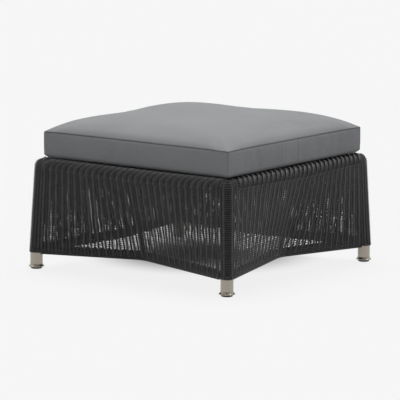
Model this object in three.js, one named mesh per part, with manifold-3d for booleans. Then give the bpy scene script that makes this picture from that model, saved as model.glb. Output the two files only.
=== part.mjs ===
// Outdoor footstool: a metal frame covered with open weave, on four levelling feet, with a loose box cushion.
// Millimetres, +Z up. The origin is on the floor below the middle of the stool, and -Y is its front.

import * as THREE from 'three';
import { mergeVertices } from 'three/addons/utils/BufferGeometryUtils.js';
import Module from 'manifold-3d';

const wasm = await Module();
wasm.setup();

// Frame: the legs lean in from their feet to the top rails
const topHalfSpan = 337; // middle of the stool to a leg's axis, at the top rails
const legSplay = 13; // how much further out it is at the weave's lower edge
const weaveFootHeight = 49; // floor to the weave's lower edge at a leg
const deckHeight = 329; // floor to the top of the woven deck
const frameTubeDiameter = 38;
const frameTubeWall = 2;
const clearance = 0.3; // between pieces that touch
const runningGap = 0.4; // round a thread or a piece that turns
const cutOverrun = 20; // how far a cutting body passes what it cuts

// Low rails: bent in and up at the middle of each side
const lowRailDiameter = 18;
const lowRailWall = 1.5;
const lowRailInset = 76;
const lowRailRise = 9;
const lowRailBendHalf = 26;
const lowRailSetback = 3; // of its outer face behind a leg's

// Struts and braces
const strutDiameter = 15;
const strutWall = 1.5;
const braceDiameter = 19;
const braceWall = 1.5;
const braceSpread = 230; // between the two braces under the deck

// Weave
const weaveThickness = 4.8; // of the sides and the deck, at the stronger stakes
const bindingThickness = 3.2; // round the legs
const ribHeight = 2.3; // of a pair's stronger stake over the valley beside it
const ribsPerSide = 28;
const deckRibHeight = 1;

// Feet
const footTubeStep = 0.5; // of its face behind the frame tube's
const footTubeWall = 2;
const footTubeTop = 58;
const collarDiameter = 46.5;
const collarNeckDiameter = 37.6;
const collarHeight = 8;
const collarLip = 2.2;
const padDiameter = 34;
const padHeight = 6;
const padEdgeRound = 2;
const padFloor = 2.6; // under the pocket for the screw's plate
const studPlateDiameter = 20;
const studDiameter = 8;
const studTop = 42;
const insertHeight = 24;

// Cushion
const cushionInset = 1; // of the cushion's seams from the axes of the top rails
const seamPull = 2; // how far the middle of a side is drawn in between the corners
const boxingBulge = 3;
const lowSeamRise = 14.5; // of the lower seam over the deck
const boxingHeight = 64.5; // from the lower seam to the upper one
const crownHeight = 44;
const crownPower = 5; // how flat the crown is round its middle
const crownEdge = 0.5; // how fast it rises from the seams: less is faster
const coverThickness = 1.6;
const coreGap = 0.5; // between the cover and the foam core
const undersideRound = 26; // how far in from the seam the underside turns flat

// Facets
const wideSides = 20;
const tubeSides = 16;
const rodSides = 10;
const legDomeSteps = 2;
const cornerDomeSteps = 3;
const padEdgeSteps = 2;
const lowRailSteps = 8;

const quarter = Math.PI / 2;
const baseHalfSpan = topHalfSpan + legSplay;
const cushionHalfWidth = topHalfSpan - cushionInset;
const lowSeamHeight = deckHeight + lowSeamRise;
const topSeamHeight = lowSeamHeight + boxingHeight;
const frameRadius = frameTubeDiameter / 2;
const lowRailRadius = lowRailDiameter / 2;
const wrapInner = frameRadius + clearance;
const bindingRadius = wrapInner + bindingThickness;
const railHeight = deckHeight - wrapInner - weaveThickness;
const lowRailHeight = weaveFootHeight + lowRailRadius + clearance + weaveThickness;
const lowRailHalfSpan = baseHalfSpan + frameRadius - lowRailRadius - lowRailSetback;
const footTubeRadius = frameRadius - footTubeStep;
const lowRailStretch = Math.hypot(1, lowRailInset / baseHalfSpan); // of its section, cut square to the side

// Solids and boolean work

function solid(geometry) {
  const bare = geometry.clone();
  bare.deleteAttribute('normal');
  bare.deleteAttribute('uv');
  const merged = mergeVertices(bare);
  return new wasm.Manifold(
    new wasm.Mesh({
      numProp: 3,
      vertProperties: new Float32Array(merged.attributes.position.array),
      triVerts: new Uint32Array(merged.index.array),
    }),
  );
}

function geometryOf(manifold) {
  const mesh = manifold.getMesh();
  const geometry = new THREE.BufferGeometry();
  geometry.setAttribute('position', new THREE.BufferAttribute(new Float32Array(mesh.vertProperties), 3));
  geometry.setIndex(new THREE.BufferAttribute(new Uint32Array(mesh.triVerts), 1));
  return geometry;
}

function union(...geometries) {
  return geometries.map(solid).reduce((sum, next) => sum.add(next));
}

function cut(geometry, ...cutters) {
  return geometryOf(solid(geometry).subtract(union(...cutters)));
}

// The radius of a polygon with this many sides whose flats stay outside a round piece
function around(radius, sides) {
  return radius / Math.cos(Math.PI / sides);
}

function ringShape(outer, inner, sides) {
  const shape = new THREE.Shape(circlePoints(outer, sides));
  if (inner > 0) shape.holes.push(new THREE.Path(circlePoints(inner, sides)));
  return shape;
}

function circlePoints(radius, sides) {
  return Array.from({ length: sides }, (_, i) => {
    const turn = ((i + 0.5) / sides) * 2 * Math.PI;
    return new THREE.Vector2(radius * Math.cos(turn), radius * Math.sin(turn));
  });
}

function tubeAlong(path, outer, inner, sides, steps = 1) {
  return new THREE.ExtrudeGeometry(ringShape(outer, inner, sides), {
    steps,
    extrudePath: path,
    bevelEnabled: false,
  });
}

function rod(from, to, radius, sides) {
  return tubeAlong(new THREE.LineCurve3(from, to), radius, 0, sides);
}

// A body turned about Z from a closed outline of [radius, height] points
function turned(outline, sides) {
  const points = [...outline, outline[0]].map(([radius, height]) => new THREE.Vector2(radius, height));
  const geometry = new THREE.LatheGeometry(points, sides);
  geometry.rotateX(quarter);
  return geometry;
}

// Places shared by the pieces

function legPoint(height) {
  const rise = (height - weaveFootHeight) / (railHeight - weaveFootHeight);
  const half = THREE.MathUtils.lerp(baseHalfSpan, topHalfSpan, rise);
  return new THREE.Vector3(half, -half, height);
}

// How far along the way to the bend a low rail is at x: 0 at a leg, nearly 1 at mid-side
function bendShare(x) {
  const b = lowRailBendHalf;
  const across = Math.abs(x) < b ? (x * x + b * b) / (2 * b) : Math.abs(x);
  return 1 - across / baseHalfSpan;
}

function lowRailPoint(x) {
  const share = bendShare(x);
  return new THREE.Vector3(x, -lowRailHalfSpan + lowRailInset * share, lowRailHeight + lowRailRise * share);
}

// Where a low rail's sections lie, as a share of its half length: closer together towards the bend
function railShare(t) {
  const side = 2 * t - 1;
  return side * Math.abs(side);
}

class LowRailPath extends THREE.Curve {
  getPoint(t, target = new THREE.Vector3()) {
    return target.copy(lowRailPoint(railShare(t) * baseHalfSpan));
  }

  getUtoTmapping(u) {
    return u;
  }
}

function cornerPoint() {
  return legPoint(railHeight);
}

// Rods in the place of the two top rails that meet at the front right corner
function railRods(radius, sides) {
  const corner = cornerPoint();
  const alongX = new THREE.Vector3(0, corner.y, corner.z);
  const alongY = new THREE.Vector3(corner.x, 0, corner.z);
  return [rod(alongX, corner, radius, sides), rod(alongY, corner, radius, sides)];
}

function legRod(radius, low, high, sides) {
  return rod(legPoint(low), legPoint(high), radius, sides);
}

// Frame

// A top rail along the front, its ends mitred against the next rails and coped to the legs
function topRail() {
  const half = topHalfSpan;
  const path = new THREE.LineCurve3(new THREE.Vector3(-half, 0, 0), new THREE.Vector3(half, 0, 0));
  const geometry = tubeAlong(path, frameRadius, frameRadius - frameTubeWall, tubeSides);
  const at = geometry.attributes.position;
  for (let i = 0; i < at.count; i += 1) {
    const side = Math.sign(at.getX(i));
    at.setX(i, side * (half - Math.max(at.getY(i), 0) - clearance));
  }
  geometry.translate(0, -half, railHeight);
  return cut(geometry, ...legCutters());
}

// A leaning tube with a domed top, which closes over the corner of the top rails
function domedTube(outerRadius, innerRadius, low, sides, domeSteps) {
  const arc = (radius) => {
    return Array.from({ length: domeSteps + 1 }, (_, i) => {
      const turn = (i / domeSteps) * quarter;
      return [radius * Math.cos(turn), radius * Math.sin(turn)];
    });
  };
  const corner = cornerPoint();
  const axis = corner.clone().sub(legPoint(low));
  const foot = -axis.length();
  const outline = [[innerRadius, foot], [outerRadius, foot], ...arc(outerRadius), ...arc(innerRadius).reverse()];
  const lean = new THREE.Quaternion().setFromUnitVectors(new THREE.Vector3(0, 0, 1), axis.normalize());
  return turned(outline, sides).applyQuaternion(lean).translate(corner.x, corner.y, corner.z);
}

// What lies below a level plane near the front right leg
function below(height) {
  const block = new THREE.BoxGeometry(topHalfSpan, topHalfSpan, height);
  return block.translate(baseHalfSpan, -baseHalfSpan, height / 2);
}

// A leg at the front right corner, cut level at its foot
function leg() {
  const tube = domedTube(frameRadius, frameRadius - frameTubeWall, footTubeTop - cutOverrun, tubeSides, legDomeSteps);
  return cut(tube, below(footTubeTop + clearance));
}

// The space that the two front legs take, for the pieces coped to them
function legCutters() {
  const right = legRod(around(wrapInner, wideSides), 0, deckHeight, wideSides);
  return [right, right.clone().rotateZ(-quarter)];
}

function lowRail() {
  const tube = tubeAlong(new LowRailPath(), lowRailRadius, lowRailRadius - lowRailWall, rodSides, lowRailSteps);
  return cut(tube, ...legCutters());
}

function topRailCutter() {
  const from = new THREE.Vector3(-topHalfSpan, -topHalfSpan, railHeight);
  const to = new THREE.Vector3(topHalfSpan, -topHalfSpan, railHeight);
  return rod(from, to, around(wrapInner, wideSides), wideSides);
}

// A strut from the bend of a low rail up to the middle of the top rail
function midStrut() {
  const foot = lowRailPoint(0);
  const head = new THREE.Vector3(0, -topHalfSpan, railHeight);
  const tube = tubeAlong(new THREE.LineCurve3(foot, head), strutDiameter / 2, strutDiameter / 2 - strutWall, rodSides);
  const lowCutter = tubeAlong(new LowRailPath(), around(lowRailRadius + clearance, rodSides), 0, rodSides, lowRailSteps);
  return cut(tube, lowCutter, topRailCutter());
}

// A brace from the front top rail to the back one, just under the deck
function deckBrace() {
  const height = deckHeight - weaveThickness - clearance - braceDiameter / 2;
  const front = new THREE.Vector3(0, -topHalfSpan, height);
  const back = new THREE.Vector3(0, topHalfSpan, height);
  const tube = tubeAlong(new THREE.LineCurve3(front, back), braceDiameter / 2, braceDiameter / 2 - braceWall, tubeSides);
  const cutter = topRailCutter();
  return cut(tube, cutter, cutter.clone().rotateZ(Math.PI));
}

// Woven skins

const ribShares = [0, 1, 0.5]; // heights of a valley and a pair's two stakes, as shares of ribHeight
const lowArcSteps = 2;
const topArcSteps = 3;
const endSteps = 4;

const skirtRows = lowArcSteps + topArcSteps + 2;

// A point of the skirt, at a share of its half width and a row between under the low rail and the crest.
// It stands off the rails by lift.
function skirtPoint(share, row, lift) {
  const low = lowRailPoint(share * baseHalfSpan);
  const top = new THREE.Vector3(share * topHalfSpan, -topHalfSpan, railHeight);
  const lowRadius = lowRailRadius * lowRailStretch + clearance;
  const slope = Math.atan2(top.z - low.z, low.y - top.y);
  const reach = Math.hypot(top.z - low.z, top.y - low.y);
  const tangent = slope - Math.acos((lowRadius - wrapInner) / reach);
  const onArc = (centre, radius, turn) => {
    return centre.add(new THREE.Vector3(0, -radius * Math.cos(turn), radius * Math.sin(turn)));
  };
  if (row <= lowArcSteps) {
    const step = (tangent + quarter) / lowArcSteps;
    return onArc(low, (lowRadius + lift) / Math.cos(step / 2), row * step - quarter);
  }
  const step = (quarter - tangent) / topArcSteps;
  return onArc(top, wrapInner / Math.cos(step / 2) + lift, tangent + (row - lowArcSteps - 1) * step);
}

// The share of its half width at which a row of the skirt meets the bound corner, in a few steps towards it
function skirtEnd(row) {
  const gap = bindingRadius + 3 * clearance;
  let share = 1;
  for (let i = 0; i < endSteps; i += 1) {
    const point = skirtPoint(share, row, 0);
    const leg = legPoint(Math.min(point.z, railHeight));
    const away = Math.hypot(point.y - leg.y, point.z - leg.z);
    const reach = Math.sqrt(gap ** 2 - Math.min(away, wrapInner) ** 2);
    share = 1 - reach / leg.x;
  }
  return share;
}

// An upright line of the skirt. Where the corners take more room, the last rib is narrower.
function skirtLine(side, lift) {
  const rows = Array.from({ length: skirtRows }, (_, row) => row);
  const ends = rows.map(skirtEnd);
  const widest = Math.max(...ends);
  const share = Math.abs(side) * widest;
  const lastRib = widest * (1 - 2 / ribsPerSide);
  return rows.map((row) => {
    const squeeze = (ends[row] - lastRib) / (widest - lastRib);
    const inEnd = share > lastRib ? lastRib + (share - lastRib) * squeeze : share;
    return skirtPoint(Math.sign(side) * inEnd, row, lift);
  });
}

// A closed shell between a fine outer sheet and a coarse inner one, each a list of lines of points
function shellBetween(outer, inner) {
  const rows = outer[0].length;
  const points = [...outer.flat(), ...inner.flat()];
  const outerAt = (column, row) => column * rows + row;
  const innerAt = (column, row) => (outer.length + column) * rows + row;
  const last = outer.length - 1;
  const lastInner = inner.length - 1;
  const faces = [];
  const quad = (a, b, c, d) => faces.push(a, b, c, a, c, d);
  for (let row = 0; row < rows - 1; row += 1) {
    for (let i = 0; i < last; i += 1) {
      quad(outerAt(i, row), outerAt(i + 1, row), outerAt(i + 1, row + 1), outerAt(i, row + 1));
    }
    for (let i = 0; i < lastInner; i += 1) {
      quad(innerAt(i, row), innerAt(i, row + 1), innerAt(i + 1, row + 1), innerAt(i + 1, row));
    }
    quad(outerAt(0, row), outerAt(0, row + 1), innerAt(0, row + 1), innerAt(0, row));
    quad(innerAt(lastInner, row), innerAt(lastInner, row + 1), outerAt(last, row + 1), outerAt(last, row));
  }
  // The rim along a row: steps along whichever sheet's next line lies nearer
  const rim = (row, flip) => {
    const face = (a, b, c) => (flip ? faces.push(a, c, b) : faces.push(a, b, c));
    let i = 0;
    let j = 0;
    while (i < last || j < lastInner) {
      const outerNext = i < last ? outer[i][row].x + outer[i + 1][row].x : Infinity;
      const innerNext = j < lastInner ? inner[j][row].x + inner[j + 1][row].x : Infinity;
      if (outerNext <= innerNext) {
        face(innerAt(j, row), outerAt(i + 1, row), outerAt(i, row));
        i += 1;
      } else {
        face(innerAt(j, row), innerAt(j + 1, row), outerAt(i, row));
        j += 1;
      }
    }
  };
  rim(0, false);
  rim(rows - 1, true);
  return geometryFrom(points, faces);
}

function geometryFrom(points, faces) {
  const geometry = new THREE.BufferGeometry();
  geometry.setAttribute('position', new THREE.Float32BufferAttribute(points.flatMap((p) => [p.x, p.y, p.z]), 3));
  geometry.setIndex(faces);
  return geometry;
}

// The woven side between two corners: pairs of stakes stand as ribs from under the low rail to over the top rail
function wovenSkirt() {
  const columns = ribsPerSide * ribShares.length;
  const valley = weaveThickness - ribHeight;
  const outer = Array.from({ length: columns + 1 }, (_, i) => {
    return skirtLine(2 * (i / columns) - 1, valley + ribHeight * ribShares[i % ribShares.length]);
  });
  const inner = Array.from({ length: ribsPerSide + 1 }, (_, i) => skirtLine(2 * (i / ribsPerSide) - 1, 0));
  return shellBetween(outer, inner);
}

// The bound corner: a sleeve round the leg with a domed top, open where the rails meet the leg
function wovenCorner() {
  const hollow = around(around(wrapInner, wideSides), 4 * cornerDomeSteps);
  const sleeve = domedTube(bindingRadius, hollow, weaveFootHeight - cutOverrun, wideSides, cornerDomeSteps);
  const lowRadius = around(lowRailRadius + clearance, rodSides);
  const lowRods = tubeAlong(new LowRailPath(), lowRadius, 0, rodSides, lowRailSteps);
  const rails = railRods(around(wrapInner, tubeSides), tubeSides);
  return cut(sleeve, below(weaveFootHeight), lowRods, lowRods.clone().rotateZ(quarter), ...rails);
}

// The woven deck: a thin ribbed panel over the rails and braces, notched round the bound corners
function wovenDeck() {
  const half = topHalfSpan - clearance;
  const under = deckHeight - weaveThickness;
  const columns = ribsPerSide * ribShares.length;
  const line = (x, height) => [new THREE.Vector3(x, -half, height), new THREE.Vector3(x, half, height)];
  const outer = Array.from({ length: columns + 1 }, (_, i) => {
    const drop = deckRibHeight * (1 - ribShares[i % ribShares.length]);
    return line(half * (2 * (i / columns) - 1), deckHeight - drop);
  });
  const inner = Array.from({ length: ribsPerSide + 1 }, (_, i) => line(half * (2 * (i / ribsPerSide) - 1), under));
  const notch = legRod(around(bindingRadius + clearance, wideSides), 0, deckHeight + cutOverrun, wideSides);
  const notches = [0, 1, 2, 3].map((k) => notch.clone().rotateZ(k * quarter));
  return cut(shellBetween(outer, inner), ...notches);
}

// Feet, each turned about its own axis at x = y = 0

function footTube() {
  const outer = footTubeRadius;
  const inner = outer - footTubeWall;
  const low = padHeight + collarHeight + 2 * clearance;
  return turned([[inner, low], [outer, low], [outer, footTubeTop], [inner, footTubeTop]], tubeSides);
}

function footInsert() {
  const outer = (footTubeRadius - footTubeWall) * Math.cos(Math.PI / tubeSides) - clearance;
  const bore = around(studDiameter / 2 + runningGap, tubeSides);
  const low = padHeight + collarHeight + 2 * clearance;
  const high = low + insertHeight;
  return turned([[bore, low], [outer, low], [outer, high], [bore, high]], tubeSides);
}

// The levelling screw: a rod on a base plate that lies in the pad's pocket
function footStud() {
  const rodRadius = studDiameter / 2;
  const plateRadius = studPlateDiameter / 2;
  const low = padFloor + clearance;
  const plate = padHeight - clearance;
  return turned([[0, low], [plateRadius, low], [plateRadius, plate], [rodRadius, plate],
    [rodRadius, studTop], [0, studTop]], rodSides);
}

// The flared collar: a neck as wide as the foot tube that spreads to a lip over the pad
function footCollar() {
  const bore = around(studDiameter / 2 + runningGap, tubeSides);
  const neck = collarNeckDiameter / 2;
  const lip = collarDiameter / 2;
  const low = padHeight + clearance;
  const high = low + collarHeight;
  const flareShares = [0, 0.08, 0.3, 1]; // how far out the flare is at equal steps down
  const flare = flareShares.map((share, i) => {
    const down = i / (flareShares.length - 1);
    return [neck + (lip - neck) * share, high - (collarHeight - collarLip) * down];
  });
  return turned([[bore, high], [bore, low], [lip, low], ...flare.reverse()], tubeSides);
}

function footPad() {
  const radius = padDiameter / 2;
  const rim = Array.from({ length: padEdgeSteps + 1 }, (_, i) => {
    const turn = (i / padEdgeSteps) * quarter;
    const outward = radius - padEdgeRound + padEdgeRound * Math.sin(turn);
    return [outward, padEdgeRound - padEdgeRound * Math.cos(turn)];
  });
  const pocket = around(studPlateDiameter / 2 + clearance, tubeSides);
  const top = [[radius, padHeight], [pocket, padHeight], [pocket, padFloor], [0, padFloor]];
  return turned([[0, 0], ...rim, ...top], tubeSides);
}

// Cushion

const pointsPerSide = 8;

// The seam outline, a square whose sides are drawn in, as points that crowd towards the corners
function seamOutline(half) {
  const outline = [];
  for (let side = 0; side < 4; side += 1) {
    for (let i = 0; i < pointsPerSide; i += 1) {
      const along = Math.sin((i / pointsPerSide - 0.5) * Math.PI);
      const point = new THREE.Vector2(half * along, -half + seamPull * (1 - along * along));
      outline.push(point.rotateAround(new THREE.Vector2(), side * quarter));
    }
  }
  return outline;
}

// Rises fast from the seams and flattens towards the middle
function crownShare(point, half) {
  const fall = (c) => 1 - Math.min(1, Math.abs(c) / half) ** crownPower;
  return (fall(point.x) * fall(point.y)) ** crownEdge;
}

function ringAt(outline, scale, heightOf) {
  return outline.map((p) => {
    const flat = p.clone().multiplyScalar(scale);
    return new THREE.Vector3(flat.x, flat.y, heightOf(flat));
  });
}

// Joins closed rings of points in order; a first or last ring of one point closes that end
function skinOf(rings) {
  const points = rings.flat();
  const starts = rings.map((_, i) => rings.slice(0, i).reduce((sum, ring) => sum + ring.length, 0));
  const faces = [];
  for (let r = 0; r < rings.length - 1; r += 1) {
    const [low, high] = [rings[r].length, rings[r + 1].length];
    const count = Math.max(low, high);
    for (let i = 0; i < count; i += 1) {
      const [a, b] = [starts[r] + (i % low), starts[r] + ((i + 1) % low)];
      const [c, d] = [starts[r + 1] + (i % high), starts[r + 1] + ((i + 1) % high)];
      if (low > 1) faces.push(a, b, d);
      if (high > 1) faces.push(a, d, c);
    }
  }
  return geometryFrom(points, faces);
}

// A sheet of cloth: the skin of the rings, given a thickness inwards and closed round its free edges,
// which are level
function clothOf(rings, edges) {
  const sheet = skinOf(rings);
  sheet.computeVertexNormals();
  const at = sheet.attributes.position;
  const normals = sheet.attributes.normal;
  const points = [];
  for (let i = 0; i < at.count; i += 1) points.push(new THREE.Vector3().fromBufferAttribute(at, i));
  const onEdge = (i) => edges.some(({ start, count }) => i >= start && i < start + count);
  for (let i = 0; i < at.count; i += 1) {
    const inward = new THREE.Vector3().fromBufferAttribute(normals, i).negate();
    if (onEdge(i)) inward.setZ(0);
    points.push(points[i].clone().add(inward.setLength(coverThickness)));
  }
  const faces = [...sheet.index.array];
  for (let i = 0; i < sheet.index.count; i += 3) {
    const [a, b, c] = sheet.index.array.slice(i, i + 3);
    faces.push(a + at.count, c + at.count, b + at.count);
  }
  for (const { start, count, upper } of edges) {
    for (let i = 0; i < count; i += 1) {
      const a = start + i;
      const b = start + ((i + 1) % count);
      const [first, second] = upper ? [b, a] : [a, b];
      faces.push(second, first, first + at.count, second, first + at.count, second + at.count);
    }
  }
  return geometryFrom(points, faces);
}

const topRingShares = [1, 0.985, 0.95, 0.86, 0.6];
const undersideRingShares = [1, 0.975, 0.93];
const boxingRingShares = [0, 0.33, 0.67, 1];

function cushionTop() {
  const outline = seamOutline(cushionHalfWidth);
  const low = topSeamHeight + clearance / 2;
  const height = (p) => low + crownHeight * crownShare(p, cushionHalfWidth);
  const rings = topRingShares.map((share) => ringAt(outline, share, height));
  const middle = [new THREE.Vector3(0, 0, height(new THREE.Vector2()))];
  return clothOf([...rings, middle], [{ start: 0, count: outline.length, upper: false }]);
}

function undersideHeight(p, half, drop) {
  const inward = half - Math.max(Math.abs(p.x), Math.abs(p.y));
  const turn = THREE.MathUtils.clamp(inward / undersideRound, 0, 1);
  return lowSeamHeight - clearance / 2 - drop * Math.sqrt(1 - (1 - turn) ** 2);
}

function undersideDrop() {
  return lowSeamHeight - clearance / 2 - (deckHeight + clearance);
}

function cushionUnderside() {
  const outline = seamOutline(cushionHalfWidth);
  const height = (p) => undersideHeight(p, cushionHalfWidth, undersideDrop());
  const rings = undersideRingShares.map((share) => ringAt(outline, share, height)).reverse();
  const middle = [new THREE.Vector3(0, 0, height(new THREE.Vector2()))];
  const start = 1 + (rings.length - 1) * outline.length;
  return clothOf([middle, ...rings], [{ start, count: outline.length, upper: true }]);
}

function cushionBoxing() {
  const outline = seamOutline(cushionHalfWidth);
  const low = lowSeamHeight + clearance / 2;
  const high = topSeamHeight - clearance / 2;
  const rings = boxingRingShares.map((share) => {
    const bulge = 1 + (boxingBulge / cushionHalfWidth) * Math.sin(share * Math.PI);
    return ringAt(outline, bulge, () => THREE.MathUtils.lerp(low, high, share));
  });
  const count = outline.length;
  return clothOf(rings, [
    { start: 0, count, upper: false },
    { start: (rings.length - 1) * count, count, upper: true },
  ]);
}

// The foam block, which fills the cover
function cushionCore() {
  const inset = coverThickness + coreGap;
  const half = cushionHalfWidth - inset;
  const outline = seamOutline(half);
  const top = (p) => topSeamHeight - inset + crownHeight * crownShare(p, half);
  const under = (p) => undersideHeight(p, half, undersideDrop()) + inset;
  const rings = [
    [new THREE.Vector3(0, 0, under(new THREE.Vector2()))],
    ringAt(outline, undersideRingShares[2], under),
    ringAt(outline, undersideRingShares[0], under),
    ringAt(outline, topRingShares[0], top),
    ringAt(outline, topRingShares[1], top),
    ringAt(outline, topRingShares[3], top),
    [new THREE.Vector3(0, 0, top(new THREE.Vector2()))],
  ];
  return skinOf(rings);
}

// Assembly

const brushedMetal = { color: 0x9a958c, roughness: 0.35, metalness: 1 };
const blackCoat = { color: 0x1c1c1d, roughness: 0.6, metalness: 0.2 };
const darkFibre = { color: 0x38383a, roughness: 0.65, metalness: 0 };
const blackPlastic = { color: 0x101010, roughness: 0.5, metalness: 0 };
const zincSteel = { color: 0x8f9296, roughness: 0.4, metalness: 1 };
const greyCanvas = { color: 0x6d6e70, roughness: 0.95, metalness: 0 };
const paleFoam = { color: 0xd8d2c0, roughness: 1, metalness: 0 };

const stool = new THREE.Group();
const sideNames = ['front', 'right', 'back', 'left'];
const cornerNames = ['front_right', 'back_right', 'back_left', 'front_left'];

function piece(name, geometry, look) {
  const mesh = new THREE.Mesh(geometry, new THREE.MeshStandardMaterial(look));
  mesh.name = name;
  return mesh;
}

const sidePieces = [
  ['top_rail', topRail(), blackCoat],
  ['low_rail', lowRail(), blackCoat],
  ['mid_strut', midStrut(), blackCoat],
  ['woven_skirt', wovenSkirt(), darkFibre],
];

sideNames.forEach((side, k) => {
  const group = new THREE.Group();
  sidePieces.forEach(([name, geometry, look]) => group.add(piece(`${name}_${side}`, geometry, look)));
  group.rotation.z = k * quarter;
  stool.add(group);
});

const cornerPieces = [
  ['leg', leg(), blackCoat],
  ['woven_corner', wovenCorner(), darkFibre],
];

const footPieces = [
  ['foot_tube', footTube(), brushedMetal],
  ['foot_insert', footInsert(), blackPlastic],
  ['foot_stud', footStud(), zincSteel],
  ['foot_collar', footCollar(), brushedMetal],
  ['foot_pad', footPad(), blackPlastic],
];

cornerNames.forEach((corner, k) => {
  const group = new THREE.Group();
  cornerPieces.forEach(([name, geometry, look]) => group.add(piece(`${name}_${corner}`, geometry, look)));
  const foot = new THREE.Group();
  foot.position.set(baseHalfSpan, -baseHalfSpan, 0);
  footPieces.forEach(([name, geometry, look]) => foot.add(piece(`${name}_${corner}`, geometry, look)));
  group.add(foot);
  group.rotation.z = k * quarter;
  stool.add(group);
});

const brace = deckBrace();
[['left', -1], ['right', 1]].forEach(([side, sign]) => {
  const mesh = piece(`deck_brace_${side}`, brace, blackCoat);
  mesh.position.x = (sign * braceSpread) / 2;
  stool.add(mesh);
});

stool.add(piece('woven_deck', wovenDeck(), darkFibre));
stool.add(piece('cushion_core', cushionCore(), paleFoam));
stool.add(piece('cushion_top', cushionTop(), greyCanvas));
stool.add(piece('cushion_boxing', cushionBoxing(), greyCanvas));
stool.add(piece('cushion_underside', cushionUnderside(), greyCanvas));

export default stool;
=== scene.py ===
"""The looks of an outdoor footstool: open woven sides, a loose box cushion and metal feet. Metres, +Z up."""

import math

import bpy
import numpy as np
from mathutils import Matrix, Vector


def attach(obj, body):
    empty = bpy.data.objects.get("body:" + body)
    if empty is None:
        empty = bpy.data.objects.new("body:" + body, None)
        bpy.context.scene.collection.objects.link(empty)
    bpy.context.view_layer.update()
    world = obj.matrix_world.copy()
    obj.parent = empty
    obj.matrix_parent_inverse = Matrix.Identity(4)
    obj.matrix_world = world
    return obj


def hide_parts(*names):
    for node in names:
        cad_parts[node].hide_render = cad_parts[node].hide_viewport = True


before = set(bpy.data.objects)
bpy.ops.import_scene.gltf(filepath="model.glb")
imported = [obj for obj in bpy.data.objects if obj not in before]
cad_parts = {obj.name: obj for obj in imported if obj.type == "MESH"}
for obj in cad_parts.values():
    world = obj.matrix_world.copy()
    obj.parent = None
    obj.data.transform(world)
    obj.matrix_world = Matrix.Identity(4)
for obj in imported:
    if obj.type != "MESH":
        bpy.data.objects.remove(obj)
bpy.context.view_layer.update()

# Sizes of the frame that the weave follows, in metres
BASE_HALF = 0.350  # middle of the stool to a leg's axis, at the foot of the weave
TOP_HALF = 0.337  # the same at the top rails
FOOT_Z = 0.049
DECK_Z = 0.329
TUBE_RADIUS = 0.019
CLEARANCE = 0.0003
WEAVE = 0.0048  # thickness of the sides and the deck
BINDING = 0.0032  # thickness round the legs
LOW_RADIUS = 0.009
LOW_INSET = 0.076  # how far in the bend of a low rail lies
LOW_RISE = 0.009  # how much higher it lies there
LOW_BEND = 0.026  # half the length of the bend
LOW_SETBACK = 0.003  # of the low rail's outer face behind a leg's
WRAP_INNER = TUBE_RADIUS + CLEARANCE
BOUND_RADIUS = WRAP_INNER + BINDING
RAIL_Z = DECK_Z - WRAP_INNER - WEAVE
LOW_Z = FOOT_Z + LOW_RADIUS + CLEARANCE + WEAVE
LOW_HALF = BASE_HALF + TUBE_RADIUS - LOW_RADIUS - LOW_SETBACK
LOW_WRAP = LOW_RADIUS * math.hypot(1, LOW_INSET / BASE_HALF) + CLEARANCE
LEG_LEAN = (BASE_HALF - TOP_HALF) / (RAIL_Z - FOOT_Z)

# Stakes of a side: pairs of one strong and one weak stake
PAIRS = 28
STAKES = 2 * PAIRS
SIDE_REACH = 0.327  # half the width that the stakes share
STAKE_WIDTH = 0.0066
STAKE_THICK = 0.0014
STAKE_SIDES = 8
STAKE_LIFT = 0.0021  # middle of a stake over the inside of the weave
STAKE_STEP = 0.0006  # of a strong stake above that, and of a weak one below it
STAKE_JITTER = 0.0004
STAKE_CURL = 1.35 * math.pi  # how far round the low rail a stake curls
STAKE_OVER = 0.030  # how far it runs on over the top rail
CURL_STEPS = 16
RISE_STEPS = 22
OVER_STEPS = 8
SWAY = 0.0012  # typical reach of a stake's sway along its side
SWAY_LENGTH = (0.035, 0.085)

# Strands of a side, in rows that cross the stakes
ROWS = 78  # between the rails
LOW_ROWS = 8  # more of them, round the low rail
TOP_ROWS = 9  # and over the top rail
ROW_PAIRING = 0.15  # how far the rows of a two lie together, in pitches
ROW_JITTER = 0.00035
BEND_JITTER = 0.0003
STRAND_RADIUS = 0.00120
STRAND_SIDES = 5
STRAND_GRIP = 0.36  # where a strand bends beside a stake's middle, in widths of the stake
STRAND_END = 0.002  # how far it runs on past the last stake
STRAND_TUCK = 0.001  # how far in its end lies
RAIL_ZONE = 0.004  # a row this near a rail lies on it

# Where a pair's stakes stand at different depths
RELIEF_RUN = 0.02  # from none to all of it
RELIEF_BELOW = 0.002  # where it starts below the straight part of the weave
RELIEF_ABOVE = 0.004  # and above it

# The closer weave in the upper part of a side
CLOSE_START = 0.46  # share of the height where it starts, in the middle of the side
CLOSE_FALL = 0.30  # how much lower it starts at the legs
CLOSE_RUN = 0.30  # share of the height in which it closes up
STAKE_SPREAD = 0.44  # how much wider a stake is there
STRAND_SPREAD = 0.17  # and a strand

# Rolled border: the ends of the stakes, in a row of arches over the top rail
ROLL_STRANDS = 3  # of a pair of stakes
ROLL_STRAND_WIDTH = 0.0032
ROLL_STRAND_THICK = 0.00288
ROLL_SIDES = 7
ROLL_STEPS = 15
ROLL_WIDTH = 0.76  # share of a pair's pitch that its strands take up
ROLL_LEAN = 0.15  # even lean of a strand, in pitches
ROLL_OVER = 1.15  # lean that its arch adds
ROLL_FOOT = 0.001  # how far below the top rail's edge it starts
ROLL_LENGTH = 0.050
ROLL_LIFT = 0.0040
ROLL_UNDER = 0.0024  # lift of the strands beneath, which lean the other way
ROLL_DOME = 0.0040  # how much higher the topmost strand of a pair goes
ARCH_START = 0.04
ARCH_POWER = 0.6
ROLL_CREST = 0.66  # where along a strand its tone is palest, a painted highlight on the crest
CREST_WIDTH = 0.22

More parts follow.
